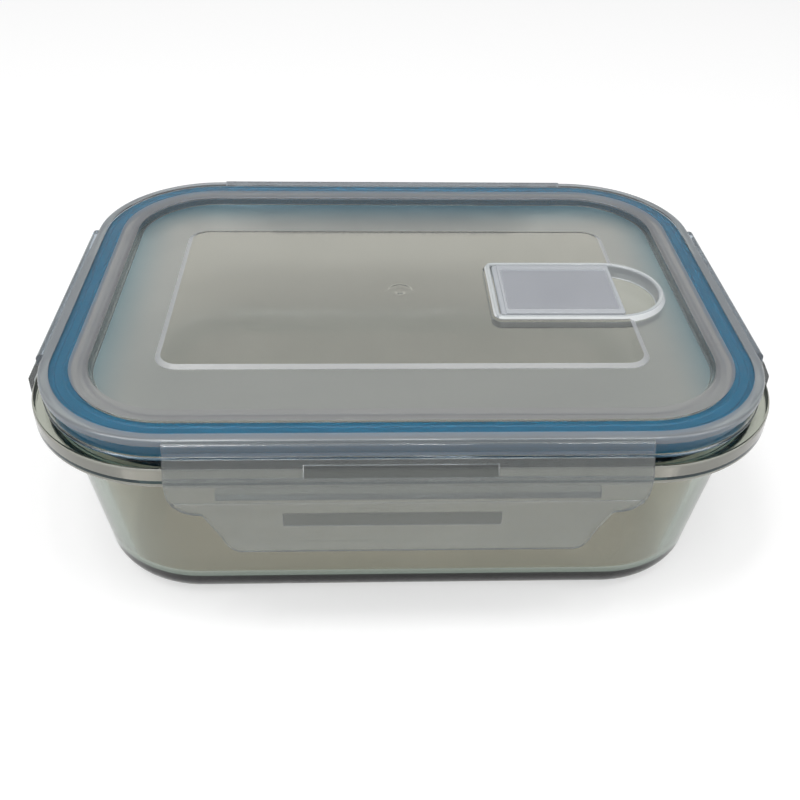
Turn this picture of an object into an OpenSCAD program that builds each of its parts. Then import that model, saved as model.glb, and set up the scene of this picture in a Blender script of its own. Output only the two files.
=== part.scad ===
// Rectangular glass lunch box with a four-latch snap lid, a gasket and a steam vent.
// Millimetres, +Z up, origin on the table below the middle of the box, front at -Y.
// Every ring round the box is a profile of [r, z] points, where r is measured outwards
// from the centres of the four corner arcs.

/* [Lid outline] */
// Length of the lid along X, without latches
lid_length = 198.6; // [180:0.2:220]
// Width of the lid along Y, without latches
lid_width = 150.6; // [140:0.2:170]
// Radius of the lid's corners
lid_corner_r = 37.3; // [34:0.1:42]

/* [Glass base] */
// Height of the glass from the table to its sealing land
glass_h = 60.8; // [54:0.2:76]
// Thickness of the glass side wall
glass_wall = 3.8; // [3:0.1:5]
// Thickness of the glass floor
glass_floor = 4.6; // [3.5:0.1:6]
// How far the body's top lies inside the lid's edge
body_inset_top = 2.9; // [2.6:0.1:4]
// How far the body's bottom lies inside the lid's edge
body_inset_bottom = 9.7; // [7:0.1:12]
// How much rounder the body's corners are than the lid's
body_corner_extra = 3.9; // [2:0.1:5]
// Radius of the outer edge round the bottom
bottom_round = 8.8; // [6:0.2:12]
// Radius of the inner edge round the floor
floor_round = 6.5; // [4:0.5:9]
// Width of the foot ring that touches the table
foot_ring_w = 6; // [4:0.5:10]
// Depth of the hollow inside the foot ring
foot_hollow = 0.6; // [0.3:0.1:1.2]
// How far the flange reaches out past the lid's edge
flange_reach = 2.7; // [2:0.1:4.2]
// Height of the flange
flange_h = 6.2; // [5:0.1:9]
// Radius of the flange's rounded top edge
flange_shoulder_r = 1.2; // [0.6:0.1:4]
// Height of the sealing land above the flange's shoulder
land_h = 1.4; // [1.2:0.1:2.4]

/* [Lid section] */
// Thickness of the lid's walls
lid_t = 1.5; // [1.2:0.1:2]
// Thickness of the outer skirt
skirt_t = 1.8; // [1.4:0.1:2]
// Gap between the skirt's foot and the flange's shoulder
skirt_gap = 0.3; // [0.2:0.1:1.2]
// How far the top edge stands out past the skirt
edge_lip = 0.5; // [0.3:0.1:0.8]
// Width of the flat rim between the lid's edge and the step to the panel
rim_flat_w = 13; // [12:0.1:15]
// Depth of the panel below the rim
panel_drop = 2.5; // [2:0.1:3]
// Depth of the inner gasket wall below the gasket
inner_wall_below_gasket = 1.6; // [1:0.1:2.4]

/* [Gasket] */
// Width of the gasket
gasket_w = 6.2; // [5:0.1:7]
// Height of the gasket
gasket_h = 3.8; // [3:0.1:5]
// Width of the groove under the gasket
groove_w = 2; // [1:0.1:2.6]
// Depth of the groove under the gasket
groove_d = 1.2; // [0.6:0.1:1.8]

/* [Window] */
// Length of the clear window
window_l = 137; // [110:1:146]
// Width of the clear window
window_w = 80.8; // [60:0.2:96]
// Corner radius of the clear window
window_r = 6; // [4:0.5:12]
// Height of the window above the panel
window_rise = 0.8; // [0.4:0.1:1.2]
// Radius of the moulding gate's dimple
gate_r = 4.6; // [3:0.1:7]
// Depth of the moulding gate's dimple
gate_d = 0.4; // [0.2:0.1:0.6]
// Radius of the nub in the dimple
gate_nub_r = 1.3; // [0.8:0.1:2]

/* [Steam vent] */
// Left end of the vent's frame along X
vent_x0 = 27; // [22:0.5:32]
// Length of the vent's frame
vent_l = 55.2; // [50:0.2:58]
// Width of the vent's frame
vent_w = 34.4; // [30:0.2:40]
// Width of the frame's ridge
vent_ridge_w = 2.2; // [1.6:0.1:3]
// Height of the ridge above the window
vent_ridge_h = 0.8; // [0.4:0.1:0.8]
// Depth of the vent's well below the window
vent_well_d = 3.6; // [3.2:0.1:3.8]
// Thickness of the well's floor
well_floor_t = 1.2; // [1:0.1:1.4]
// Length of the flap
flap_l = 37.5; // [32:0.5:40]
// Thickness of the flap
flap_t = 1.6; // [1.3:0.1:1.8]
// Width of the raised border on the flap
flap_border_w = 2.2; // [1.5:0.1:3]
// Depth of the flap's middle below the window
flap_drop = 0.4; // [0.2:0.1:0.6]
// Height of the raised border on the flap
flap_border_h = 0.4; // [0.2:0.1:0.5]
// Distance from the flap's hinge to the steam hole
steam_hole_dx = 17.7; // [14:0.1:22]
// Radius of the steam hole
steam_hole_r = 2; // [1.5:0.1:3]
// Radius of the plug's disc
plug_r = 4.5; // [3.5:0.1:6]
// How far the plug's nose reaches into the steam hole
nose_depth = 0.5; // [0.3:0.1:0.6]

/* [Latches] */
// Length of the front and rear latches
long_latch_l = 122; // [100:1:123]
// Length of the side latches
side_latch_l = 74; // [60:1:75]
// Height of a latch from its hinge to the end of its tab
latch_h = 27.2; // [24:0.2:32]
// Thickness of a latch
latch_t = 1.5; // [1.3:0.1:1.8]
// Distance of the hinge out from the lid's edge
hinge_out = 2.4; // [2:0.1:3]
// Depth of the hinge below the top of the lid
hinge_drop = 4.6; // [4:0.1:5]
// Radius of the hinge's bead
bead_r = 0.8; // [0.7:0.05:0.9]
// Height of the slanted stretch below the hinge
slant_h = 3.9; // [3:0.1:5]
// How far the tab's end flares out
flare = 1.5; // [0.5:0.1:2.5]
// Height of the flared stretch
flare_h = 6; // [4:0.5:9]
// Radius of the latch's shoulders
shoulder_r = 7.5; // [5:0.5:8]
// Height of the latch from its hinge to the foot of its shoulders
shoulder_h = 15.4; // [14:0.2:18]
// How much shorter the tab is at each end than the latch
tab_inset = 8.5; // [8:0.5:12]
// Lean of the tab's sides from upright
tab_lean = 30; // [15:1:40]
// Radius of the tab's lower corners
tab_corner_r = 5; // [3:0.5:7]
// Height of the catch
catch_h = 2.5; // [1.8:0.1:3]
// How far the catch reaches in under the flange
catch_in = 3.3; // [2.4:0.1:3.6]
// Length of the catch as a share of its latch
catch_share = 0.8; // [0.5:0.05:0.9]
// Depth of the pockets in the back of a latch
pocket_d = 0.5; // [0.2:0.1:0.7]
// Length of the upper pocket as a share of its latch
upper_pocket_share = 0.4; // [0.2:0.05:0.6]
// Length of the lower pocket as a share of its latch
lower_pocket_share = 0.46; // [0.2:0.02:0.6]
// Height of the lower pocket
lower_pocket_h = 4.6; // [3:0.2:6]
// Distance from the catch down to the lower pocket
lower_pocket_drop = 4.2; // [1:0.2:5]

/* [Clearances] */
// Gap between the gasket and the glass land
seal_gap = 0.2; // [0.1:0.05:0.3]
// Gap between the gasket and the walls that hold it
gasket_fit = 0.1; // [0.05:0.05:0.2]
// Gap between the latch and the flange
latch_gap = 1.1; // [0.3:0.1:1.4]
// Gap between the glass land and the skirt
land_gap = 0.5; // [0.3:0.1:0.8]
// Gap between the catch and the underside of the flange
catch_gap = 0.3; // [0.2:0.05:0.5]
// Gap between a hinge bead and what carries it
hinge_gap = 0.15; // [0.1:0.05:0.2]
// Gap round the vent flap
flap_gap = 0.4; // [0.3:0.05:0.6]
// Gap between the plug's nose and the steam hole
nose_gap = 0.3; // [0.25:0.05:0.4]

/* [Hidden] */
$fn = 96;
// overlap of joined shapes, a thin one where a step would show, and how far a cut runs past
overlap = 1;
eps = 0.01;
cut = 2;
chamfer = 0.3;
arc_steps = 6;
bead_fn = 32;

// centres of the corner arcs: those of the lid, and those of the glass body
core_x = lid_length / 2 - lid_corner_r;
core_y = lid_width / 2 - lid_corner_r;
body_core_x = core_x - body_corner_extra;
body_core_y = core_y - body_corner_extra;
body_corner_r = lid_corner_r + body_corner_extra;

// levels, from the table up
shoulder_z = glass_h - land_h;
flange_z = shoulder_z - flange_h;
gasket_z = glass_h + seal_gap;
ceiling_z = gasket_z + gasket_h;
lid_top_z = ceiling_z + lid_t;
skirt_z = shoulder_z + skirt_gap;
inner_wall_z = gasket_z - inner_wall_below_gasket;
panel_z = lid_top_z - panel_drop;
window_z = panel_z + window_rise;
ridge_z = window_z + vent_ridge_h;
well_z = window_z - vent_well_d;

// radii of the lid's section from the corner centres
skirt_out_r = lid_corner_r - edge_lip;
skirt_in_r = skirt_out_r - skirt_t;
gasket_out_r = skirt_in_r - gasket_fit;
gasket_in_r = gasket_out_r - gasket_w;
inner_wall_r = gasket_in_r - gasket_fit;
step_r = lid_corner_r - rim_flat_w;
step_slope = 1;
edge_round = 1;

// glass
land_out_r = skirt_in_r - land_gap;
land_round = 1;
flange_r = lid_corner_r + flange_reach;
flange_under_r = 1.2;
flange_round = min(flange_shoulder_r, flange_h - flange_under_r);
flange_root_w = 1.5;
flange_root_r = lid_corner_r - body_inset_top + flange_root_w;
flange_inner_r = inner_wall_r - overlap;
body_top_r = body_corner_r - body_inset_top;
body_bottom_r = body_corner_r - body_inset_bottom;
cavity_slope = (body_top_r - body_bottom_r) / (flange_z - bottom_round);
cavity_bottom_r = body_bottom_r - glass_wall;
cavity_floor_edge_z = glass_floor + floor_round;
cavity_top_r = cavity_bottom_r + cavity_slope * (glass_h - cavity_floor_edge_z);

// latches: r is again measured from the corner centres
pivot_r = lid_corner_r + hinge_out;
pivot_z = lid_top_z - hinge_drop;
latch_in_r = flange_r + latch_gap;
latch_out_r = latch_in_r + latch_t;
catch_z = flange_z - catch_gap;
latch_end_z = pivot_z - latch_h;
catch_chamfer = 0.4;
pocket_reach = [0.2, 0.95];
roll_in_r = skirt_out_r - skirt_t / 3;
roll_out_r = pivot_r - bead_r / 2;
roll_z = pivot_z + bead_r + hinge_gap;
roll_top_z = lid_top_z - chamfer;
roll_round = 1.6;

// steam vent
vent_r = vent_w / 2;
vent_round_x = vent_x0 + vent_l - vent_r;
well_x0 = vent_x0 + vent_ridge_w;
well_r = vent_r - vent_ridge_w;
flap_bead_r = flap_t / 2;
flap_pivot_x = well_x0 + flap_gap + flap_bead_r;
flap_pivot_z = window_z - flap_drop;
flap_w = 2 * (well_r - flap_gap);
flap_end_x = well_x0 + flap_gap + flap_l;
flap_under_z = flap_pivot_z - flap_bead_r;
steam_hole_x = flap_pivot_x + steam_hole_dx;
nose_r = steam_hole_r - nose_gap;

lid_colour = [0.80, 0.83, 0.85];
latch_colour = [0.74, 0.78, 0.80];

// Points of an arc round [x, z] from angle a0 to a1
function arc(x, z, r, a0, a1, steps = arc_steps) = [
    for (i = [0:steps])
        let (a = a0 + (a1 - a0) * i / steps)
        [x + r * cos(a), z + r * sin(a)]
];

// Sweeps a profile round the box: four corner arcs and four straight sides
module sweep_round(profile, cx, cy) {
    for (side = [0, 1])
        mirror([side, 0, 0]) {
            translate([cx, cy, 0]) rotate_extrude(angle = 90) polygon(profile);
            translate([cx, -cy, 0]) rotate([0, 0, -90]) rotate_extrude(angle = 90) polygon(profile);
            translate([cx, cy, 0]) rotate([90, 0, 0]) linear_extrude(2 * cy) polygon(profile);
        }
    for (side = [0, 1])
        mirror([0, side, 0])
            translate([-cx, cy, 0]) rotate([90, 0, 90]) linear_extrude(2 * cx) polygon(profile);
}

// Fills the space between the corner centres
module core_block(cx, cy, z0, z1) {
    translate([-cx, -cy, z0]) cube([2 * cx, 2 * cy, z1 - z0]);
}

// Plate with rounded corners, from z0 to z1
module rounded_plate(half_x, half_y, r, z0, z1) {
    translate([0, 0, z0]) linear_extrude(z1 - z0) {
        square([2 * half_x, 2 * (half_y - r)], center = true);
        square([2 * (half_x - r), 2 * half_y], center = true);
        for (sx = [-1, 1], sy = [-1, 1])
            translate([sx * (half_x - r), sy * (half_y - r)]) circle(r);
    }
}

// Straight-ended, round-nosed outline of the vent
module vent_plate(x0, round_x, r, z0, z1) {
    translate([0, 0, z0]) linear_extrude(z1 - z0) {
        translate([x0, -r]) square([round_x - x0, 2 * r]);
        translate([round_x, 0]) circle(r);
    }
}

// Turns what is built for the front side to another side of the box
module on_side(side) {
    if (side == "front") translate([0, -core_y, 0]) children();
    if (side == "rear") translate([0, core_y, 0]) rotate([0, 0, 180]) children();
    if (side == "left") translate([-core_x, 0, 0]) rotate([0, 0, -90]) children();
    if (side == "right") translate([core_x, 0, 0]) rotate([0, 0, 90]) children();
}

// Extrudes an [r, z] profile along X, with r pointing to the front
module along_front(profile, length) {
    translate([length / 2, 0, 0]) rotate([90, 0, -90]) linear_extrude(length) polygon(profile);
}

module glass_base() {
    body = concat(
        [[0, 0]],
        arc(body_bottom_r - bottom_round, bottom_round, bottom_round, -90, 0),
        [[body_top_r, flange_z], [body_top_r, shoulder_z - overlap], [0, shoulder_z - overlap]]
    );
    flange_curve_r = flange_r - flange_under_r;
    flange = concat(
        [[flange_inner_r, flange_z - overlap], [body_top_r - body_corner_extra, flange_z - overlap]],
        [[flange_root_r, flange_z]],
        arc(flange_curve_r, flange_z + flange_under_r, flange_under_r, -90, 0, 4),
        arc(flange_r - flange_round, shoulder_z - flange_round, flange_round, 0, 90),
        [[land_out_r, shoulder_z]],
        arc(land_out_r - land_round, glass_h - land_round, land_round, 0, 90, 4),
        [[flange_inner_r, glass_h]]
    );
    cavity = concat(
        [[0, glass_floor]],
        arc(cavity_bottom_r - floor_round, cavity_floor_edge_z, floor_round, -90, 0),
        [[cavity_top_r, glass_h], [cavity_top_r, glass_h + cut], [0, glass_h + cut]]
    );
    hollow_inset = body_inset_bottom + bottom_round + foot_ring_w;
    color([0.72, 0.80, 0.76, 0.6])
        difference() {
            union() {
                sweep_round(body, body_core_x, body_core_y);
                core_block(body_core_x, body_core_y, 0, shoulder_z - overlap);
                sweep_round(flange, core_x, core_y);
            }
            sweep_round(cavity, body_core_x, body_core_y);
            core_block(body_core_x, body_core_y, glass_floor, glass_h + cut);
            rounded_plate(
                lid_length / 2 - hollow_inset, lid_width / 2 - hollow_inset,
                body_corner_r - hollow_inset, -cut, foot_hollow
            );
        }
}

module lid() {
    inner_wall_in_r = inner_wall_r - lid_t;
    rim = concat(
        [[step_r - step_slope, panel_z - lid_t], [step_r - step_slope + lid_t, panel_z - lid_t]],
        [[step_r + lid_t, ceiling_z], [inner_wall_in_r, ceiling_z], [inner_wall_in_r, inner_wall_z]],
        [[inner_wall_r, inner_wall_z], [inner_wall_r, ceiling_z], [skirt_in_r, ceiling_z]],
        [[skirt_in_r, skirt_z], [skirt_out_r + edge_lip / 2, skirt_z]],
        [[skirt_out_r + edge_lip / 2, skirt_z + edge_lip], [skirt_out_r, skirt_z + 2 * edge_lip]],
        [[skirt_out_r, lid_top_z - 2 * edge_round - edge_lip]],
        [[lid_corner_r, lid_top_z - 2 * edge_round]],
        arc(lid_corner_r - edge_round, lid_top_z - edge_round, edge_round, 0, 90, 4),
        [[step_r + chamfer, lid_top_z], [step_r, lid_top_z - chamfer], [step_r - step_slope, panel_z]]
    );
    roll = concat(
        [[roll_in_r, roll_z], [roll_out_r, roll_z]],
        arc(roll_out_r - roll_round, roll_top_z - roll_round, roll_round, 0, 90, 4),
        [[roll_in_r, roll_top_z]]
    );
    panel_r = step_r - step_slope + lid_t / 2;
    color(lid_colour)
        difference() {
            union() {
                sweep_round(rim, core_x, core_y);
                rounded_plate(core_x + panel_r, core_y + panel_r, panel_r, panel_z - lid_t, panel_z);
                rounded_plate(window_l / 2, window_w / 2, window_r, panel_z - lid_t / 2, window_z);
                vent_plate(vent_x0, vent_round_x, vent_r, well_z - well_floor_t, ridge_z);
                for (side = ["front", "rear"]) on_side(side) along_front(roll, long_latch_l);
                for (side = ["left", "right"]) on_side(side) along_front(roll, side_latch_l);
            }
            vent_plate(well_x0, vent_round_x, well_r, well_z, ridge_z + cut);
            translate([steam_hole_x, 0, well_z - well_floor_t - cut])
                cylinder(r = steam_hole_r, h = well_floor_t + 2 * cut);
            difference() {
                translate([0, 0, window_z - gate_d]) cylinder(r = gate_r, h = gate_d + cut);
                translate([0, 0, window_z - gate_d - cut]) cylinder(r = gate_nub_r, h = gate_d + cut);
            }
        }
}

module gasket() {
    mid_r = (gasket_out_r + gasket_in_r) / 2;
    section = [
        [gasket_in_r, gasket_z], [mid_r - groove_w / 2, gasket_z],
        [mid_r - groove_w / 2, gasket_z + groove_d], [mid_r + groove_w / 2, gasket_z + groove_d],
        [mid_r + groove_w / 2, gasket_z], [gasket_out_r, gasket_z],
        [gasket_out_r, ceiling_z], [gasket_in_r, ceiling_z]
    ];
    color([0.20, 0.42, 0.55]) sweep_round(section, core_x, core_y);
}

// Outline of a latch seen from the front, hinge at the top
module latch_outline(length) {
    half = length / 2;
    tab_half = half - tab_inset;
    foot_z = pivot_z - shoulder_h;
    side_h = foot_z - latch_end_z - tab_corner_r * (1 - sin(tab_lean));
    corner_x = tab_half - side_h * tan(tab_lean) - tab_corner_r * cos(tab_lean);
    right = concat(
        [[half, pivot_z + 2 * bead_r]],
        arc(half - shoulder_r, foot_z + shoulder_r, shoulder_r, 0, -90),
        [[tab_half, foot_z]],
        arc(corner_x, latch_end_z + tab_corner_r, tab_corner_r, -tab_lean, -90, 4)
    );
    left = [for (i = [len(right) - 1:-1:0]) [-right[i][0], right[i][1]]];
    translate([0, -pivot_r + 2 * bead_r, 0]) rotate([90, 0, 0])
        linear_extrude(latch_out_r) polygon(concat(right, left));
}

module latch(length) {
    lower_pocket_z = catch_z - catch_h - lower_pocket_drop - lower_pocket_h;
    // the slanted stretch is a band of half the latch's thickness each side of its middle line
    slant = [latch_in_r + latch_t / 2 - pivot_r, -slant_h];
    slant_len = norm(slant);
    across = [slant_h, slant[0]] / slant_len;
    back_top = [pivot_r, pivot_z] - across * latch_t / 2;
    back_foot = [latch_in_r, pivot_z - slant_h - latch_t / 4];
    front_top = [pivot_r, pivot_z] + across * latch_t / 2;
    section = [
        back_top,
        back_foot,
        [latch_in_r, latch_end_z + flare_h],
        [latch_in_r + flare, latch_end_z],
        [latch_out_r + flare, latch_end_z],
        [latch_out_r, latch_end_z + flare_h],
        [latch_out_r, pivot_z - slant_h + latch_t / 4],
        front_top
    ];
    // the upper pocket covers a share of the slant's back, between these two points
    pocket_top = back_top + (back_foot - back_top) * pocket_reach[0];
    pocket_foot = back_top + (back_foot - back_top) * pocket_reach[1];
    upper_pocket = [
        pocket_top + across * pocket_d, pocket_top - across * cut,
        pocket_foot - across * cut, pocket_foot + across * pocket_d
    ];
    color(latch_colour) {
        difference() {
            union() {
                intersection() {
                    along_front(section, length);
                    latch_outline(length);
                }
                translate([-length / 2, -pivot_r, pivot_z]) rotate([0, 90, 0])
                    cylinder(r = bead_r, h = length, $fn = bead_fn);
            }
            // pockets in the back, above and below the catch
            along_front(upper_pocket, length * upper_pocket_share);
            translate([-length * lower_pocket_share / 2, -latch_in_r - pocket_d, lower_pocket_z])
                cube([length * lower_pocket_share, pocket_d + cut, lower_pocket_h]);
        }
    }
}

// Rib on the back of a latch that snaps in under the flange
module catch_rib(length) {
    tip_r = latch_in_r - catch_in;
    section = [
        [latch_in_r, catch_z], [tip_r + catch_chamfer, catch_z],
        [tip_r, catch_z - catch_chamfer], [tip_r, catch_z - catch_h / 2],
        [latch_in_r, catch_z - catch_h]
    ];
    color(latch_colour) along_front(section, length * catch_share);
}

module vent_flap() {
    length = flap_end_x - flap_pivot_x;
    inner_l = length - flap_bead_r - 2 * flap_border_w;
    inner_w = flap_w - 2 * flap_border_w;
    top_z = flap_pivot_z + flap_bead_r;
    color([0.86, 0.87, 0.90]) {
        difference() {
            union() {
                translate([flap_pivot_x, flap_w / 2, flap_pivot_z]) rotate([90, 0, 0])
                    cylinder(r = flap_bead_r, h = flap_w, $fn = bead_fn);
                translate([flap_pivot_x, -flap_w / 2, flap_under_z]) cube([length, flap_w, flap_t]);
                translate([flap_pivot_x + flap_bead_r, -flap_w / 2, top_z - eps])
                    cube([length - flap_bead_r, flap_w, flap_border_h + eps]);
            }
            translate([flap_pivot_x + flap_bead_r + flap_border_w, -inner_w / 2, top_z])
                cube([inner_l, inner_w, flap_border_h + cut]);
        }
    }
}

module vent_plug() {
    color([0.88, 0.90, 0.91]) translate([steam_hole_x, 0, 0]) {
        translate([0, 0, well_z + seal_gap])
            cylinder(r = plug_r, h = flap_under_z - well_z - seal_gap);
        translate([0, 0, well_z - nose_depth]) cylinder(r = nose_r, h = nose_depth + seal_gap);
    }
}

glass_base();
lid();
gasket();
on_side("front") latch(long_latch_l);  // front_latch
on_side("rear") latch(long_latch_l);  // rear_latch
on_side("left") latch(side_latch_l);  // left_latch
on_side("right") latch(side_latch_l);  // right_latch
on_side("front") catch_rib(long_latch_l);  // front_catch
on_side("rear") catch_rib(long_latch_l);  // rear_catch
on_side("left") catch_rib(side_latch_l);  // left_catch
on_side("right") catch_rib(side_latch_l);  // right_catch
vent_flap();
vent_plug();
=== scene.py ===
from math import atan2, cos, pi, radians, sin, tan

import bmesh
import bpy
from mathutils import Matrix, Vector


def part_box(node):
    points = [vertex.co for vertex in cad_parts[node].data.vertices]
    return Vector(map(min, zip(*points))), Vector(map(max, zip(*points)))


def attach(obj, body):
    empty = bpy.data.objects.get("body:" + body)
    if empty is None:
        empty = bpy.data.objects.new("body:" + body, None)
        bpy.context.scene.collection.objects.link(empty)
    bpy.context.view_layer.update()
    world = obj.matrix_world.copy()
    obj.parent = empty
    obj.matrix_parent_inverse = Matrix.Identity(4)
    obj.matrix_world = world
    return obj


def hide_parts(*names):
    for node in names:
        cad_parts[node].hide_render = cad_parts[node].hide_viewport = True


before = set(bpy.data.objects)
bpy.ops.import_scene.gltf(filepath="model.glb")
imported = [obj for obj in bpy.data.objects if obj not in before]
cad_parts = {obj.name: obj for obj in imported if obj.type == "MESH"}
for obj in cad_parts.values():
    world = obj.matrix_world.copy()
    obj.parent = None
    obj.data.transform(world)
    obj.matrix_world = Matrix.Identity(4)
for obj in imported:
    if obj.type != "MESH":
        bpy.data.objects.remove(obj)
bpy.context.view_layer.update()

MM = 0.001

# ---------------------------------------------------------------- sizes

# corner centres of the lid, the glass body and the clear window, the steps of a quarter turn,
# where the section of a flat sheet starts, and how far a cutting solid stands out of what it cuts
LID_CORE = (62.0, 38.0)
BODY_CORE = (58.1, 34.1)
WINDOW_CORE = (62.5, 34.4)
CORNER_STEPS = 24
SHEET_R = 9.0
BEYOND = 1.0

# levels, the first two from the frame
GLASS_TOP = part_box("glass_base")[1][2] / MM
LID_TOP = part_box("lid")[1][2] / MM
SKIRT_FOOT = 59.7
INNER_WALL_FOOT = 59.4
CEILING = 64.8
PANEL_TOP = 63.8
PANEL_UNDER = 62.3
WINDOW_TOP = 64.6
WINDOW_UNDER = 62.9
RIDGE_TOP = 65.4
WELL_FLOOR = 61.0
WELL_UNDER = 59.8

# glass: the flange's root is given from the body's wall and the flange's underside
FLOOR_TOP = 4.6
FOOT_HOLLOW = 0.6
FOOT_INNER_R = 16.7
FOOT_SLOPE = 0.6
BODY_BOTTOM_R = 31.5
BODY_TOP_R = 38.3
CAVITY_BOTTOM_R = 27.7
CAVITY_TOP_R = 35.35
BOTTOM_ROUND = 8.8
FLOOR_ROUND = 6.5
FLANGE_UNDER = 53.2
SHOULDER = 59.4
FLANGE_R = 40.0
FLANGE_FOOT_ROUND = 1.2
SHOULDER_ROUND = 0.7
# painted light: the flange's outer face is a light beige band down to this height
PAINTED_LIGHT_FOOT = 55.7
# painted reflection: a dark line on the flange's face down to this height, where its foot mirrors
# the gasket
PAINTED_DARK_LINE_FOOT = 54.7
FLANGE_BACK_R = 27.6
FLANGE_ROOT = ((-0.2, -2.4), (0.4, -1.5), (1.6, -0.5), (3.0, 0.0))
LAND_R = 34.5
LAND_ROUND = 1.0

# lid section and gasket
LID_R = 37.3
SKIRT_R = 36.8
SKIRT_IN_R = 35.0
INNER_WALL_R = 28.6
STEP_R = 24.3
LID_T = 1.5
GASKET_OUT_R = 34.9
GASKET_IN_R = 28.7
GASKET_FOOT = 61.0
GASKET_LIP_FOOT = 59.9
GROOVE_R = (30.7, 32.9)
GROOVE_DEPTH = 1.2
RIB_R = (33.2, 32.8, 30.8, 30.4)
RIB_H = 0.3
ROLL_BACK_R = 36.2
ROLL_R = 39.3
ROLL_FOOT = 62.65
ROLL_TOP = 66.0

# clear window, outwards from its core: raised face, foot of its bevel, and the hollow under it.
# The gate's mark is (r, height over the window) from its middle, and lies within the reach
WINDOW_IN_R = 0.4
WINDOW_FACE_R = 5.2
WINDOW_FOOT_R = 6.9
WINDOW_HOLLOW_R = 6.2
GATE_REACH = 20.0
GATE_MARK = ((0, -0.1), (1.2, -0.1, 0.4), (2.0, -0.4, 0.6), (3.6, -0.35, 0.8), (4.4, 0.1), (0, 1.0))

# where the lid's finishes change, and where the painted blue in the panel starts, a painted
# reflection of the
# gasket seen through it: outwards from the corner centres, with those at the sides moved out by the
# inset
FROST_R = 29.3
EDGE_R = 34.4
PAINTED_BLUE_FROM = 5.0
PAINTED_BLUE_INSET = 5.0

# steam vent, along X: insets are inwards from its outline
VENT_LEFT = 27.0
VENT_NOSE_X = 65.0
VENT_HALF = 17.2
VENT_CORNER = 3.2
RIDGE_W = 2.2
RIDGE_LEAN = 0.9
WELL_INSET = 1.1
CUP_INSET = 2.9
STEAM_HOLE_X = 48.1
STEAM_HOLE_R = 2.0
FLAP_LEFT = 29.6
FLAP_RIGHT = 67.1
FLAP_HALF = 14.6
FLAP_UNDER = 63.4
FLAP_FACE = 65.0
FLAP_TOP = 65.4
FLAP_BORDER = 2.2
FLAP_LIP = 0.9
FLAP_CORNER = 1.0
FLAP_IN = 0.1
HINGE_R = 0.8
PLUG_R = 4.5
PLUG_NOSE_R = 1.7

# latches: r is to the middle of the plate, and a pocket is its middle and half width as shares of
# the latch's length, its foot and its top
LONG_LATCH = 122.0
SIDE_LATCH = 74.0
PIVOT_R = 39.7
PIVOT_Z = 61.7
PLATE_R = 41.85
LATCH_T = 1.5
SLANT_FOOT = 57.8
FLARE_TOP = 40.5
LATCH_END = 34.5
FLARE = 1.5
FLARE_CURVE = 1.3
SHOULDER_R = 7.5
SHOULDER_FOOT = 46.3
TAB_INSET = 8.5
TAB_LEAN = radians(30)
TAB_CORNER = 5.0
CREASE_Z = 49.8
CREASE_HALF = 0.7
CREASE_H = 0.15
GRIP_INSET = 17.0
GRIP_FOOT = 37.2
GRIP_TOP = 47.4
GRIP_DEPTH = 0.15
GRIP_RIM = 0.4
UPPER_POCKET = (-0.018, 0.2, 57.4, 60.8)
LOWER_POCKET = (-0.034, 0.23, 41.6, 46.2)
POCKET_DEPTH = 0.5
POCKET_RIM = 0.25
# the second slot holds the pockets' painted shade
FACE_SLOT, POCKET_SHADE_SLOT = 0, 1
CATCH_TOP = 52.9
CATCH_H = 2.5
CATCH_IN = 3.3
CATCH_SHARE = 0.8

SIDES = {
    "front": ((0.0, -LID_CORE[1]), 0.0),
    "rear": ((0.0, LID_CORE[1]), pi),
    "left": ((-LID_CORE[0], 0.0), -pi / 2),
    "right": ((LID_CORE[0], 0.0), pi / 2),
}


# ---------------------------------------------------------------- modelling helpers

def arc(r, z, radius, start, end, steps=8):
    """Points of an arc round (r, z), from one angle in degrees to another."""
    turns = [radians(start + (end - start) * k / steps) for k in range(steps + 1)]
    return [(r + radius * cos(a), z + radius * sin(a)) for a in turns]


def fillet(corners, steps=4):
    """Points of a section whose corners are (r, z) when sharp, or (r, z, radius) when rounded."""
    points = []
    for i, corner in enumerate(corners):
        here = Vector(corner[:2])
        if len(corner) == 2:
            points.append(tuple(here))
            continue
        back = (Vector(corners[i - 1][:2]) - here).normalized()
        ahead = (Vector(corners[(i + 1) % len(corners)][:2]) - here).normalized()
        half = back.angle(ahead) / 2
        centre = here + (back + ahead).normalized() * corner[2] / sin(half)
        first = here + back * corner[2] / tan(half) - centre
        last = here + ahead * corner[2] / tan(half) - centre
        start = atan2(first.y, first.x)
        sweep = (atan2(last.y, last.x) - start + pi) % (2 * pi) - pi
        turns = [start + sweep * k / steps for k in range(steps + 1)]
        points += [(centre.x + corner[2] * cos(a), centre.y + corner[2] * sin(a)) for a in turns]
    return points


def select_only(kind, test):
    """Selects the verts, edges or faces of the edited mesh that pass the test."""
    data = bpy.context.object.data
    bpy.ops.mesh.select_mode(type=kind.upper())
    bpy.ops.mesh.select_all(action="DESELECT")
    mesh = bmesh.from_edit_mesh(data)
    for item in getattr(mesh, {"vert": "verts", "edge": "edges", "face": "faces"}[kind]):
        if test(item):
            item.select_set(True)
    mesh.select_flush_mode()
    bmesh.update_edit_mesh(data)


def slide(x=0.0, y=0.0, z=0.0):
    """Extrudes what is selected, by millimetres."""
    bpy.ops.mesh.extrude_region_move(TRANSFORM_OT_translate={"value": (x * MM, y * MM, z * MM)})


def spin(steps, angle, x, y):
    """Spins what is selected about an upright axis at x, y, leftwards seen from above."""
    bpy.ops.mesh.spin(steps=steps, angle=-angle, center=(x * MM, y * MM, 0), axis=(0, 0, 1))


def merge_all():
    bpy.ops.mesh.select_all(action="SELECT")
    bpy.ops.mesh.remove_doubles(threshold=0.002 * MM)
    bpy.ops.mesh.normals_make_consistent(inside=False)


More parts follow.
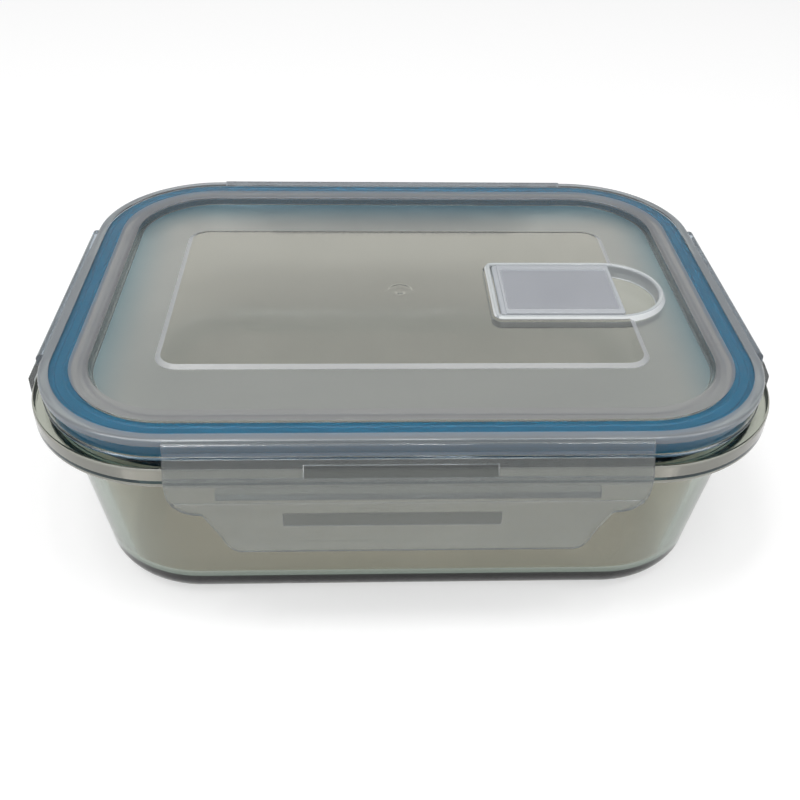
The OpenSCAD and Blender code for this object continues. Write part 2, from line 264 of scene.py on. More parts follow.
def trace(name, points, closed=False):
    """A new piece: a chain of edges drawn through the points, open or closed by a last edge."""
    points = [Vector(p) * MM for p in points]
    bpy.ops.object.select_all(action="DESELECT")
    bpy.ops.mesh.primitive_plane_add(size=MM)
    piece = bpy.context.object
    piece.name = piece.data.name = name
    bpy.ops.object.mode_set(mode="EDIT")
    bpy.ops.mesh.select_mode(type="VERT")
    bpy.ops.mesh.select_all(action="SELECT")
    bpy.ops.mesh.merge(type="CENTER")
    bpy.ops.transform.translate(value=points[0])
    for here, there in zip(points, points[1:]):
        bpy.ops.mesh.extrude_region_move(TRANSFORM_OT_translate={"value": there - here})
    if closed:
        select_only("vert", lambda vert: len(vert.link_edges) == 1)
        bpy.ops.mesh.edge_face_add()
    bpy.ops.mesh.select_all(action="SELECT")
    return piece


def fill_ends():
    """Closes each flat hole that a sweep leaves."""
    def height(edge):
        return edge.verts[0].co.z / MM

    mesh = bmesh.from_edit_mesh(bpy.context.object.data)
    levels = {round(height(edge), 2) for edge in mesh.edges if edge.is_boundary}
    for level in sorted(levels):
        select_only("edge", lambda edge: edge.is_boundary and abs(height(edge) - level) < 0.02)
        bpy.ops.mesh.edge_face_add()
    merge_all()


def sweep_round(name, section, core=LID_CORE, closed=False):
    """Sweeps a section round the box. An open section is closed by two flat faces."""
    cx, cy = core
    piece = trace(name, [(cx + r, -cy, z) for r, z in section], closed)
    x, y = cx, -cy
    for next_x, next_y in ((cx, cy), (-cx, cy), (-cx, -cy), (cx, -cy)):
        slide(next_x - x, next_y - y)
        spin(CORNER_STEPS, pi / 2, next_x, next_y)
        x, y = next_x, next_y
    merge_all()
    if not closed:
        fill_ends()
    bpy.ops.object.mode_set(mode="OBJECT")
    return piece


def sweep_vent(name, section):
    """Sweeps a section of (inset, z) points round the vent's outline, closed by flat faces."""
    corner_x = VENT_LEFT + VENT_CORNER
    corner_y = VENT_HALF - VENT_CORNER
    piece = trace(name, [(VENT_NOSE_X, inset - VENT_HALF, z) for inset, z in section])
    spin(2 * CORNER_STEPS, pi, VENT_NOSE_X, 0)
    slide(x=corner_x - VENT_NOSE_X)
    spin(8, pi / 2, corner_x, corner_y)
    slide(y=-2 * corner_y)
    spin(8, pi / 2, corner_x, -corner_y)
    slide(x=VENT_NOSE_X - corner_x)
    merge_all()
    fill_ends()
    bpy.ops.object.mode_set(mode="OBJECT")
    return piece


def turn(name, section, x=0.0, steps=48):
    """Turns a section of (r, z) points, from the axis out and back, about an upright axis at x."""
    piece = trace(name, [(x + r, 0, z) for r, z in section])
    spin(steps, 2 * pi, x, 0)
    merge_all()
    bpy.ops.object.mode_set(mode="OBJECT")
    return piece


def extrude_front(name, section, length):
    """Extrudes a closed (r, z) section along X, as a strip of the front side."""
    piece = trace(name, [(-length / 2, -r, z) for r, z in section], True)
    bpy.ops.mesh.edge_face_add()
    slide(x=length)
    merge_all()
    bpy.ops.object.mode_set(mode="OBJECT")
    return piece


def activate(piece):
    bpy.ops.object.select_all(action="DESELECT")
    piece.select_set(True)
    bpy.context.view_layer.objects.active = piece


def place_on_side(piece, side):
    """Turns what is made for the front, from the corner centres' line, to its own side."""
    (x, y), angle = SIDES[side]
    piece.matrix_world = Matrix.Translation((x * MM, y * MM, 0)) @ Matrix.Rotation(angle, 4, "Z")
    activate(piece)
    bpy.ops.object.transform_apply(location=True, rotation=True, scale=True)
    return piece


def shift(piece, x):
    """Moves a piece along X, by millimetres, and applies it."""
    piece.location.x = x * MM
    activate(piece)
    bpy.ops.object.transform_apply(location=True, rotation=False, scale=False)


def copy_piece(piece, name):
    twin = piece.copy()
    twin.data = piece.data.copy()
    twin.name = twin.data.name = name
    bpy.context.collection.objects.link(twin)
    return twin


def apply_modifier(piece, kind, **settings):
    activate(piece)
    modifier = piece.modifiers.new(kind.title(), kind)
    for key, value in settings.items():
        setattr(modifier, key, value)
    bpy.ops.object.modifier_apply(modifier=modifier.name)


def combine(piece, tool, operation):
    """Adds another solid to the piece, or cuts it out, and deletes that solid."""
    apply_modifier(piece, "BOOLEAN", operation=operation, solver="EXACT", object=tool)
    bpy.data.objects.remove(tool, do_unlink=True)


def join(pieces):
    """Puts several shells in one object."""
    activate(pieces[0])
    for piece in pieces:
        piece.select_set(True)
    bpy.ops.object.join()
    return pieces[0]


def finish_piece(piece, body, node, materials, angle=32):
    """Shades the piece, gives it its materials and ties it to the frame."""
    activate(piece)
    bpy.ops.object.mode_set(mode="EDIT")
    merge_all()
    bpy.ops.object.mode_set(mode="OBJECT")
    bpy.ops.object.shade_smooth_by_angle(angle=radians(angle))
    apply_modifier(piece, "WEIGHTED_NORMAL", keep_sharp=True, weight=80)
    for material in materials:
        piece.data.materials.append(material)
    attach(piece, body)
    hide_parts(node)


def from_core(at):
    """How far a point is outwards from the lid's corner centres, and 0 between them."""
    return Vector((max(abs(at.x) - LID_CORE[0], 0), max(abs(at.y) - LID_CORE[1], 0))).length


def paint(piece, material, test):
    """Gives one of the piece's materials to the faces whose centre, in mm, and normal pass."""
    index = piece.data.materials.find(material.name)
    for face in piece.data.polygons:
        if test(face.center / MM, face.normal):
            face.material_index = index


# ---------------------------------------------------------------- materials

# grain in bumps a metre, and how far light bends
FINE_GRAIN = 2500
LATCH_GRAIN = 1200
PLASTIC_IOR = 1.49
GLASS_IOR = 1.47


def new_material(name):
    material = bpy.data.materials.new(name)
    material.use_nodes = True
    nodes = material.node_tree.nodes
    return material, nodes, material.node_tree.links, nodes["Principled BSDF"]


def add_noise(nodes, links, scale, detail=3.0, rough=0.5, stretch=(1, 1, 1)):
    """Noise in the piece's own space, with scale in features a metre."""
    place = nodes.new("ShaderNodeTexCoord")
    mapping = nodes.new("ShaderNodeMapping")
    mapping.inputs["Scale"].default_value = stretch
    noise = nodes.new("ShaderNodeTexNoise")
    noise.inputs["Scale"].default_value = scale
    noise.inputs["Detail"].default_value = detail
    noise.inputs["Roughness"].default_value = rough
    links.new(place.outputs["Object"], mapping.inputs["Vector"])
    links.new(mapping.outputs["Vector"], noise.inputs["Vector"])
    return noise.outputs["Fac"]


def spread(nodes, links, value, low, high):
    """Maps the middle of a noise to a range of numbers."""
    ramp = nodes.new("ShaderNodeMapRange")
    ramp.inputs["From Min"].default_value = 0.3
    ramp.inputs["From Max"].default_value = 0.7
    ramp.inputs["To Min"].default_value = low
    ramp.inputs["To Max"].default_value = high
    links.new(value, ramp.inputs["Value"])
    return ramp.outputs["Result"]


def blend_colours(nodes, links, value, first, second):
    mix = nodes.new("ShaderNodeMix")
    mix.data_type = "RGBA"
    mix.inputs["A"].default_value = (*first, 1)
    mix.inputs["B"].default_value = (*second, 1)
    links.new(value, mix.inputs["Factor"])
    return mix.outputs["Result"]


def add_bump(nodes, links, shader, value, height, strength, under=None):
    bump = nodes.new("ShaderNodeBump")
    bump.inputs["Strength"].default_value = strength
    bump.inputs["Distance"].default_value = height * MM
    links.new(value, bump.inputs["Height"])
    if under:
        links.new(under, bump.inputs["Normal"])
    links.new(bump.outputs["Normal"], shader.inputs["Normal"])
    return bump.outputs["Normal"]


def pressed_glass():
    """Borosilicate: faint waves and smudges, and a green-grey body that thick edges show."""
    material, nodes, links, shader = new_material("pressed_glass")
    shader.inputs["Transmission Weight"].default_value = 1.0
    shader.inputs["IOR"].default_value = GLASS_IOR
    mottle = add_noise(nodes, links, 35, 2)
    colour = blend_colours(nodes, links, mottle, (0.83, 0.72, 0.62), (0.89, 0.77, 0.68))
    links.new(colour, shader.inputs["Base Color"])
    smudge = add_noise(nodes, links, 55, 4)
    links.new(spread(nodes, links, smudge, 0.0, 0.05), shader.inputs["Roughness"])
    add_bump(nodes, links, shader, add_noise(nodes, links, 45, 1, stretch=(1, 1, 0.5)), 0.3, 0.25)
    body = nodes.new("ShaderNodeVolumeAbsorption")
    body.inputs["Color"].default_value = (0.13, 0.37, 0.35, 1)
    body.inputs["Density"].default_value = 105
    links.new(body.outputs["Volume"], nodes["Material Output"].inputs["Volume"])
    return material


def moulded_plastic(name, colours, clearness, roughness, grain_height, grain=FINE_GRAIN,
                    ior=PLASTIC_IOR, waves=0.1):
    """Translucent polypropylene: milky, with flow marks, waves in mm and the grain of its mould.

    Colours and roughness are each a pair, between which the surface varies."""
    material, nodes, links, shader = new_material(name)
    shader.inputs["Transmission Weight"].default_value = clearness
    shader.inputs["IOR"].default_value = ior
    flow = add_noise(nodes, links, 30, 4, stretch=(1, 2, 1))
    links.new(blend_colours(nodes, links, flow, *colours), shader.inputs["Base Color"])
    smear = add_noise(nodes, links, 110, 5, 0.6)
    links.new(spread(nodes, links, smear, *roughness), shader.inputs["Roughness"])
    wavy = add_bump(nodes, links, shader, add_noise(nodes, links, 60, 2), waves, 0.2)
    add_bump(nodes, links, shader, add_noise(nodes, links, grain, 2), grain_height, 0.5, wavy)
    return material


def add_vector_step(nodes, links, operation, value, other):
    """A vector sum of a socket and either another socket or three numbers."""
    step = nodes.new("ShaderNodeVectorMath")
    step.operation = operation
    links.new(value, step.inputs[0])
    if isinstance(other, tuple):
        step.inputs[1].default_value = other
    else:
        links.new(other, step.inputs[1])
    return step.outputs["Vector"]


def milky_panel():
    """The lid's frosted plastic, with painted blue along the rear and sides: the gasket seen
    through the panel, painted into its colour as a painted reflection.
    """
    pale, blue = ((0.47, 0.495, 0.505), (0.52, 0.545, 0.555)), (0.16, 0.34, 0.44)
    above_lid = 1  # a metre up, so that the height of a point doesn't count
    material = moulded_plastic("lid_frosted", pale, 0.75, (0.30, 0.42), 0.06)
    nodes, links = material.node_tree.nodes, material.node_tree.links
    at = nodes.new("ShaderNodeTexCoord").outputs["Object"]
    mirrored = add_vector_step(nodes, links, "MULTIPLY", at, (-1, 1, 1))
    at = add_vector_step(nodes, links, "MAXIMUM", mirrored, at)
    core = ((LID_CORE[0] + PAINTED_BLUE_INSET) * MM, LID_CORE[1] * MM, above_lid)
    at = add_vector_step(nodes, links, "SUBTRACT", at, core)
    at = add_vector_step(nodes, links, "MAXIMUM", at, (0, 0, 0))
    reach = nodes.new("ShaderNodeVectorMath")
    reach.operation = "LENGTH"
    links.new(at, reach.inputs[0])
    near = nodes.new("ShaderNodeMapRange")
    near.interpolation_type = "SMOOTHSTEP"
    near.inputs["From Min"].default_value = PAINTED_BLUE_FROM * MM
    near.inputs["From Max"].default_value = STEP_R * MM
    links.new(reach.outputs["Value"], near.inputs["Value"])
    shader = nodes["Principled BSDF"]
    milk = shader.inputs["Base Color"].links[0].from_socket
    # painted reflection: the gasket's blue mixed into the milky colour, fading in towards the
    # middle
    painted_blue = blend_colours(nodes, links, near.outputs["Result"], (1, 1, 1), blue)
    links.new(milk, painted_blue.node.inputs["A"])
    links.new(painted_blue, shader.inputs["Base Color"])
    return material


def silicone(name, colours, roughness, sheen=0.0):
    """Satin silicone, with a faint bloom and fine grain."""
    material, nodes, links, shader = new_material(name)
    shader.inputs["Sheen Weight"].default_value = sheen
    bloom = add_noise(nodes, links, 90, 5, 0.6)
    links.new(blend_colours(nodes, links, bloom, *colours), shader.inputs["Base Color"])
    links.new(spread(nodes, links, bloom, *roughness), shader.inputs["Roughness"])
    add_bump(nodes, links, shader, add_noise(nodes, links, 1800, 2), 0.05, 0.4)
    return material


GLASS = pressed_glass()
# painted light: a milky beige band on the flange's outer face, standing in for the light seen
# through the rim
FLANGE_PAINTED_LIGHT = moulded_plastic(
    "flange_painted_light", ((0.44, 0.44, 0.39), (0.49, 0.49, 0.44)), 0.30, (0.06, 0.14), 0.01,
    ior=GLASS_IOR, waves=0.05)
# painted reflection: the near-black line on the flange's face, where its foot mirrors the gasket
FLANGE_PAINTED_DARK_LINE = moulded_plastic(
    "flange_painted_dark_line", ((0.015, 0.045, 0.05), (0.02, 0.055, 0.065)), 0.35, (0.02, 0.08), 0.01,
    ior=1.40, waves=0.05)
POLISHED = moulded_plastic(
    "lid_polished", ((0.78, 0.82, 0.85), (0.84, 0.87, 0.89)), 1.0, (0.01, 0.05), 0.01,
    ior=1.36, waves=0.05)
WINDOW = moulded_plastic(
    "lid_window", ((0.57, 0.58, 0.57), (0.63, 0.64, 0.63)), 0.93, (0.04, 0.12), 0.02)
FROSTED = milky_panel()
RIM = moulded_plastic(
    "lid_rim", ((0.45, 0.46, 0.49), (0.50, 0.51, 0.54)), 0.72, (0.34, 0.44), 0.04)
# painted light: the window's bevel made milkier and lighter than the window, standing in for the
# light it catches
WINDOW_EDGE_PAINTED_LIGHT = moulded_plastic(
    "window_edge_painted_light", ((0.52, 0.54, 0.57), (0.58, 0.60, 0.63)), 0.50, (0.10, 0.20), 0.02)
# the step wall is clearer than the panel, and its blue is a painted reflection of the gasket
STEP_WALL_BLUE_REFLECTION = moulded_plastic(
    "step_wall_painted_reflection", ((0.50, 0.58, 0.63), (0.56, 0.64, 0.69)), 0.88, (0.10, 0.20), 0.03,
    ior=1.42, waves=0.05)
VENT_FRAME = moulded_plastic(
    "vent_frame", ((0.66, 0.70, 0.73), (0.72, 0.76, 0.79)), 0.40, (0.12, 0.22), 0.03)
# painted light: the vent's outer walls, which face away from the lamps, made lighter and milkier
VENT_SIDE_PAINTED_LIGHT = moulded_plastic(
    "vent_side_painted_light", ((0.88, 0.91, 0.93), (0.93, 0.95, 0.96)), 0.10, (0.12, 0.22), 0.03)
LID_EDGE = moulded_plastic(
    "lid_edge", ((0.34, 0.37, 0.40), (0.38, 0.41, 0.44)), 0.50, (0.14, 0.24), 0.03, waves=0.04)
# painted shade: the rolls' plastic made darker and bluer than the clear lid, so that what they
# refract looks dimmer
HINGE_ROLL_PAINTED_SHADE = moulded_plastic(
    "hinge_roll_painted_shade", ((0.50, 0.56, 0.62), (0.56, 0.62, 0.68)), 0.80, (0.04, 0.08), 0.01,
    ior=1.40, waves=0.03)
LATCH_FACE = moulded_plastic(
    "latch_face", ((0.68, 0.71, 0.71), (0.74, 0.77, 0.77)), 0.90, (0.12, 0.22), 0.05, LATCH_GRAIN)
# painted shade: the back pockets' plastic made near black, for the dark bars of shade in them
LATCH_POCKET_SHADE = moulded_plastic(
    "latch_pocket_painted_shade", ((0.11, 0.13, 0.135), (0.14, 0.16, 0.165)), 0.96, (0.14, 0.24), 0.04,
    LATCH_GRAIN)
FLAP_FROSTED = moulded_plastic(
    "flap_frosted", ((0.50, 0.52, 0.56), (0.55, 0.57, 0.62)), 0.45, (0.30, 0.45), 0.08)
FLAP_POLISHED = moulded_plastic(
    "flap_border", ((0.64, 0.67, 0.71), (0.70, 0.73, 0.77)), 0.40, (0.08, 0.16), 0.02)
BLUE_SILICONE = silicone("gasket_blue", ((0.001, 0.18, 0.325), (0.001, 0.20, 0.355)), (0.38, 0.55))
MILKY_SILICONE = silicone("plug_milky", ((0.62, 0.64, 0.66), (0.72, 0.74, 0.75)), (0.35, 0.50))


# ---------------------------------------------------------------- pieces

def make_tub():
    """Pressed glass: a drafted body, a round-edged flange with a sealing land, and a cavity."""
    tub = sweep_round("glass_tub", [
        (SHEET_R, FOOT_HOLLOW), (FOOT_INNER_R - FOOT_SLOPE, FOOT_HOLLOW),
        (FOOT_INNER_R + FOOT_SLOPE, 0),
        *arc(BODY_BOTTOM_R - BOTTOM_ROUND, BOTTOM_ROUND, BOTTOM_ROUND, -90, 0, 12),
        (BODY_TOP_R, FLANGE_UNDER), (BODY_TOP_R, SHOULDER - 1), (SHEET_R, SHOULDER - 1),
    ], BODY_CORE)
    root_r = BODY_TOP_R + BODY_CORE[0] - LID_CORE[0]
    foot_r, foot_z = FLANGE_R - FLANGE_FOOT_ROUND, FLANGE_UNDER + FLANGE_FOOT_ROUND
    flange = sweep_round("flange", [
        (FLANGE_BACK_R, FLANGE_UNDER + FLANGE_ROOT[0][1]),
        *((root_r + out, FLANGE_UNDER + rise) for out, rise in FLANGE_ROOT),
        *arc(foot_r, foot_z, FLANGE_FOOT_ROUND, -90, 0, 6),
        (FLANGE_R, PAINTED_DARK_LINE_FOOT), (FLANGE_R, PAINTED_LIGHT_FOOT),
        *arc(FLANGE_R - SHOULDER_ROUND, SHOULDER - SHOULDER_ROUND, SHOULDER_ROUND, 0, 90, 8),
        (LAND_R, SHOULDER),
        *arc(LAND_R - LAND_ROUND, GLASS_TOP - LAND_ROUND, LAND_ROUND, 0, 90, 5),
        (FLANGE_BACK_R, GLASS_TOP),
    ], LID_CORE, True)
    cavity = sweep_round("cavity", [
        (SHEET_R, FLOOR_TOP),
        *arc(CAVITY_BOTTOM_R - FLOOR_ROUND, FLOOR_TOP + FLOOR_ROUND, FLOOR_ROUND, -90, 0, 10),
        *arc(CAVITY_TOP_R + LAND_ROUND, GLASS_TOP - LAND_ROUND, LAND_ROUND, 180, 90, 5),
        (CAVITY_TOP_R + LAND_ROUND, GLASS_TOP + BEYOND), (SHEET_R, GLASS_TOP + BEYOND),
    ], BODY_CORE)
    combine(tub, flange, "UNION")
    combine(tub, cavity, "DIFFERENCE")
    finish_piece(tub, "base", "glass_base", [GLASS, FLANGE_PAINTED_LIGHT, FLANGE_PAINTED_DARK_LINE])
    # painted light on the flange's outer face
    paint(tub, FLANGE_PAINTED_LIGHT, lambda at, normal:
          from_core(at) > FLANGE_R - 0.35 and FLANGE_UNDER < at.z < SHOULDER)
    # painted dark reflection of the gasket along the flange's lower face
    paint(tub, FLANGE_PAINTED_DARK_LINE, lambda at, normal:
          from_core(at) > FLANGE_R - 0.1 and PAINTED_DARK_LINE_FOOT < at.z < PAINTED_LIGHT_FOOT)


def make_lid():
    """One moulding: rim, skirt and walls round the gasket, panel, window, vent, hinge rolls."""
    under_step_r = STEP_R - 1 + LID_T
    lid = sweep_round("lid_shell", fillet([
        (SHEET_R, PANEL_TOP), (STEP_R - 1, PANEL_TOP, 0.5), (STEP_R, LID_TOP, 0.5),
        (FROST_R, LID_TOP), (EDGE_R, LID_TOP), (LID_R, LID_TOP, 1.0),
        (LID_R, LID_TOP - 2, 0.25), (SKIRT_R, LID_TOP - 2.5, 0.3),
        (SKIRT_R, SKIRT_FOOT + 0.8, 0.3), (SKIRT_R + 0.2, SKIRT_FOOT + 0.5, 0.1),
        (SKIRT_R + 0.2, SKIRT_FOOT, 0.2),
        (SKIRT_IN_R, SKIRT_FOOT, 0.25), (SKIRT_IN_R, CEILING, 0.3), (INNER_WALL_R, CEILING, 0.3),
        (INNER_WALL_R, INNER_WALL_FOOT, 0.3), (INNER_WALL_R - LID_T, INNER_WALL_FOOT, 0.3),
        (INNER_WALL_R - LID_T, CEILING, 0.3), (STEP_R + LID_T, CEILING, 0.4),
        (under_step_r, PANEL_UNDER, 0.4), (SHEET_R, PANEL_UNDER),
    ]))
    window = sweep_round("window", fillet([
        (WINDOW_IN_R, WINDOW_UNDER), (WINDOW_FOOT_R, WINDOW_UNDER),
        (WINDOW_FOOT_R, PANEL_TOP + 0.05, 0.2), (WINDOW_FACE_R, WINDOW_TOP, 0.5),
        (WINDOW_IN_R, WINDOW_TOP),
    ]), WINDOW_CORE)
    roll = fillet([
        (ROLL_BACK_R, ROLL_FOOT), (ROLL_R, ROLL_FOOT, 0.3), (ROLL_R, ROLL_TOP, 1.6),
        (ROLL_BACK_R, ROLL_TOP),
    ], 8)
    lengths = {"front": LONG_LATCH, "rear": LONG_LATCH, "left": SIDE_LATCH, "right": SIDE_LATCH}
    rolls = [place_on_side(extrude_front("roll", roll, lengths[side]), side) for side in SIDES]
    combine(lid, join([window] + rolls), "UNION")
    recess = sweep_round("recess", fillet([
        (WINDOW_IN_R, PANEL_UNDER - BEYOND), (WINDOW_HOLLOW_R, PANEL_UNDER - BEYOND),
        (WINDOW_HOLLOW_R, WINDOW_UNDER, 0.3), (WINDOW_IN_R, WINDOW_UNDER),
    ]), WINDOW_CORE)
    gate = turn("gate", fillet([
        (r, WINDOW_TOP + rise, *rounding) for r, rise, *rounding in GATE_MARK
    ]))
    combine(lid, recess, "DIFFERENCE")
    combine(lid, gate, "DIFFERENCE")
    foot, head = WELL_UNDER - BEYOND, RIDGE_TOP + BEYOND
    combine(lid, sweep_vent("well", [
        (CUP_INSET, foot), (WELL_INSET, foot), (WELL_INSET, head), (CUP_INSET, head),
    ]), "DIFFERENCE")
    combine(lid, sweep_vent("vent_cup", fillet([
        (CUP_INSET, WELL_UNDER), (0, WELL_UNDER, 0.6), (0, PANEL_TOP), (RIDGE_LEAN, RIDGE_TOP, 0.5),
        (RIDGE_W, RIDGE_TOP, 0.7), (RIDGE_W, WELL_FLOOR, 0.4), (CUP_INSET, WELL_FLOOR),
    ])), "UNION")
    combine(lid, turn("steam_hole", [
        (0, foot), (STEAM_HOLE_R, foot), (STEAM_HOLE_R, head), (0, head),
    ], STEAM_HOLE_X, 32), "DIFFERENCE")
    finish_piece(lid, "lid", "lid", [
        POLISHED, FROSTED, WINDOW, VENT_FRAME, HINGE_ROLL_PAINTED_SHADE, LID_EDGE, WINDOW_EDGE_PAINTED_LIGHT, STEP_WALL_BLUE_REFLECTION,
        VENT_SIDE_PAINTED_LIGHT, RIM])
    paint_lid(lid)


def paint_lid(lid):
    """Gives each part of the lid its finish, some of them with painted light or shade. What is left
    over stays polished.
    """
    sheets = (WINDOW_TOP, WINDOW_UNDER, PANEL_TOP, PANEL_UNDER)

    def on_window(at):
        reach = WINDOW_FOOT_R + 0.1
        beside = abs(at.x) < WINDOW_CORE[0] + reach and abs(at.y) < WINDOW_CORE[1] + reach
        return beside and at.z > PANEL_TOP + 0.02

    def on_window_edge(at):
        beyond_gate_mark = max(abs(at.x), abs(at.y)) > GATE_REACH
        return on_window(at) and at.z < WINDOW_TOP - 0.02 and beyond_gate_mark

    def from_nose(at):
        return Vector((max(at.x - VENT_NOSE_X, 0), at.y)).length

    def in_vent(at):
        inside = at.x > VENT_LEFT - 0.1 and from_nose(at) < VENT_HALF + 0.05
        return inside and min(abs(at.z - sheet) for sheet in sheets) > 0.05

    def on_vent_side(at, normal):
        outermost = from_nose(at) > VENT_HALF - 1 or at.x < VENT_LEFT + 1
        return in_vent(at) and abs(normal.z) < 0.75 and at.z > PANEL_TOP and outermost

    def on_step(at, normal):
        between = STEP_R - 1.2 < from_core(at) < STEP_R + 0.2
        return between and at.z > PANEL_TOP + 0.05 and normal.z < 0.95

    paint(lid, FROSTED, lambda at, normal:
          from_core(at) < FROST_R and at.z > PANEL_TOP - 0.1 and normal.z > 0.1)
    # painted blue reflection on the step wall
    paint(lid, STEP_WALL_BLUE_REFLECTION, on_step)
    paint(lid, WINDOW, lambda at, normal: on_window(at))
    # painted light on the window's bevel
    paint(lid, WINDOW_EDGE_PAINTED_LIGHT, lambda at, normal: on_window_edge(at))
    paint(lid, VENT_FRAME, lambda at, normal: in_vent(at) and at.z > WELL_FLOOR + 0.05)
    # painted light on the vent's outer walls
    paint(lid, VENT_SIDE_PAINTED_LIGHT, on_vent_side)
    # painted shade on the hinge rolls
    paint(lid, HINGE_ROLL_PAINTED_SHADE, lambda at, normal:
          from_core(at) > LID_R + 0.02 and at.z > ROLL_FOOT - 0.05)
    paint(lid, LID_EDGE, lambda at, normal:
          EDGE_R < from_core(at) < LID_R + 0.01 and at.z > LID_TOP - 1.9)
    paint(lid, RIM, lambda at, normal:
          STEP_R - 0.2 < from_core(at) < FROST_R and at.z > LID_TOP - 0.3)


def make_gasket():
    """Silicone ring with two ribs on top and a groove between its lips underneath."""
    top = CEILING - 0.1
    between = top - RIB_H
    groove_top = GASKET_FOOT + GROOVE_DEPTH
    groove_in, groove_out = GROOVE_R
    outer_rib, outer_foot, inner_foot, inner_rib = RIB_R
    lip_r = LAND_R + 0.05
    gasket = sweep_round("gasket_ring", fillet([
        (GASKET_IN_R, GASKET_FOOT, 0.4), (groove_in, GASKET_FOOT, 0.4),
        (groove_in, groove_top, 0.3), (groove_out, groove_top, 0.3), (groove_out, GASKET_FOOT, 0.4),
        (lip_r, GASKET_FOOT, 0.1), (lip_r, GASKET_LIP_FOOT), (GASKET_OUT_R, GASKET_LIP_FOOT),
        (GASKET_OUT_R, top, 0.5), (outer_rib, top, 0.3), (outer_foot, between, 0.2),
        (inner_foot, between, 0.2), (inner_rib, top, 0.2), (GASKET_IN_R, top, 0.5),
    ]), LID_CORE, True)
    finish_piece(gasket, "lid", "gasket", [BLUE_SILICONE])


def latch_r(z):
    """Distance of the plate's middle from the corner centres: slant, plate, crease and flare."""
    slant = max(z - SLANT_FOOT, 0) / (PIVOT_Z - SLANT_FOOT)
    flare = max(FLARE_TOP - z, 0) / (FLARE_TOP - LATCH_END)
    crease = max(1 - abs(z - CREASE_Z) / CREASE_HALF, 0)
    return PLATE_R + (PIVOT_R - PLATE_R) * slant + FLARE * flare ** FLARE_CURVE + CREASE_H * crease


def latch_outline(length):
    """Outline of a latch from the front: hinge line, rounded shoulders, leaning tab sides."""
    half = length / 2
    tab_half = half - TAB_INSET
    end_half = tab_half - (SHOULDER_FOOT - LATCH_END) * tan(TAB_LEAN)
    right = [
        (half, PIVOT_Z + 0.35), (half, SHOULDER_FOOT, SHOULDER_R), (tab_half, SHOULDER_FOOT, 1.5),
        (end_half, LATCH_END, TAB_CORNER),
    ]
    return fillet(right + [(-corner[0], *corner[1:]) for corner in reversed(right)], 8)


def make_latch(name, length):
    """A plate cut to the latch's outline and bowed, with a grip panel and two back pockets, these
    painted dark as painted shade.
    """
    grip_half = length / 2 - GRIP_INSET
    pockets = [(length * (middle - half), length * (middle + half), foot, top)
               for middle, half, foot, top in (UPPER_POCKET, LOWER_POCKET)]
    latch = trace(name, [(x, 0, z) for x, z in latch_outline(length)], True)
    bpy.ops.mesh.edge_face_add()
    heights = {z for pocket in pockets for z in pocket[2:]}
    heights |= {SLANT_FOOT, SLANT_FOOT + 0.4, GRIP_FOOT, GRIP_TOP}
    heights |= {CREASE_Z + k * CREASE_HALF / 2 for k in range(-2, 3)}
    heights |= {FLARE_TOP - k * 0.8 for k in range(7)}
    for z in sorted(heights):
        cut_across((0, 0, z), (0, 0, 1))
    for x in [x for pocket in pockets for x in pocket[:2]] + [-grip_half, grip_half]:
        cut_across((x, 0, 0), (1, 0, 0))
    mesh = bmesh.from_edit_mesh(latch.data)
    for vert in mesh.verts:
        vert.co.y = -latch_r(vert.co.z / MM) * MM
    bmesh.update_edit_mesh(latch.data)
    bpy.ops.mesh.select_all(action="SELECT")
    bpy.ops.mesh.normals_make_consistent(inside=False)
    bpy.ops.object.mode_set(mode="OBJECT")
    apply_modifier(latch, "SOLIDIFY", thickness=LATCH_T * MM, offset=0)
    bpy.ops.object.mode_set(mode="EDIT")
    merge_all()
    select_only("edge", lambda edge: edge.calc_face_angle(0) > radians(60))
    bpy.ops.mesh.bevel(offset=0.5 * MM, segments=3, profile=0.6, clamp_overlap=True)

    def press(left, right, foot, top, facing, depth, rim, slot):
        select_only("face", lambda face: face.normal.y * facing > 0.5
                    and left * MM < face.calc_center_median().x < right * MM
                    and foot * MM < face.calc_center_median().z < top * MM)
        bpy.ops.mesh.inset(thickness=rim * MM, depth=-depth * MM, use_boundary=True)
        for face in bmesh.from_edit_mesh(latch.data).faces:
            if face.select:
                face.material_index = slot

    back, front = 1, -1
    # the pockets get the painted shade
    press(*pockets[0], back, POCKET_DEPTH / 2, POCKET_RIM, POCKET_SHADE_SLOT)
    press(*pockets[1], back, POCKET_DEPTH, POCKET_RIM, POCKET_SHADE_SLOT)
    press(-grip_half, grip_half, GRIP_FOOT, GRIP_TOP, front, GRIP_DEPTH, GRIP_RIM, FACE_SLOT)
    bpy.ops.object.mode_set(mode="OBJECT")
    return latch


def cut_across(point, direction):
    """Cuts the whole edited mesh along a plane, and keeps both sides."""
    bpy.ops.mesh.select_all(action="SELECT")
    bpy.ops.mesh.bisect(plane_co=Vector(point) * MM, plane_no=direction)


def make_catch(name, length):
    """The rib on a latch's back that snaps in under the glass flange."""
    back = PLATE_R - LATCH_T / 2 - 0.02
    tip = back - CATCH_IN
    catch = extrude_front(name, fillet([
        (back, CATCH_TOP), (tip, CATCH_TOP, 0.4), (tip, CATCH_TOP - CATCH_H / 2, 0.4),
        (back, CATCH_TOP - CATCH_H),
    ]), length * CATCH_SHARE)
    activate(catch)
    bpy.ops.object.mode_set(mode="EDIT")
    ends = length * CATCH_SHARE / 2
    select_only("edge", lambda edge: all(abs(abs(v.co.x / MM) - ends) < 0.01 for v in edge.verts))
    bpy.ops.mesh.bevel(offset=0.25 * MM, segments=2)
    bpy.ops.object.mode_set(mode="OBJECT")
    return catch


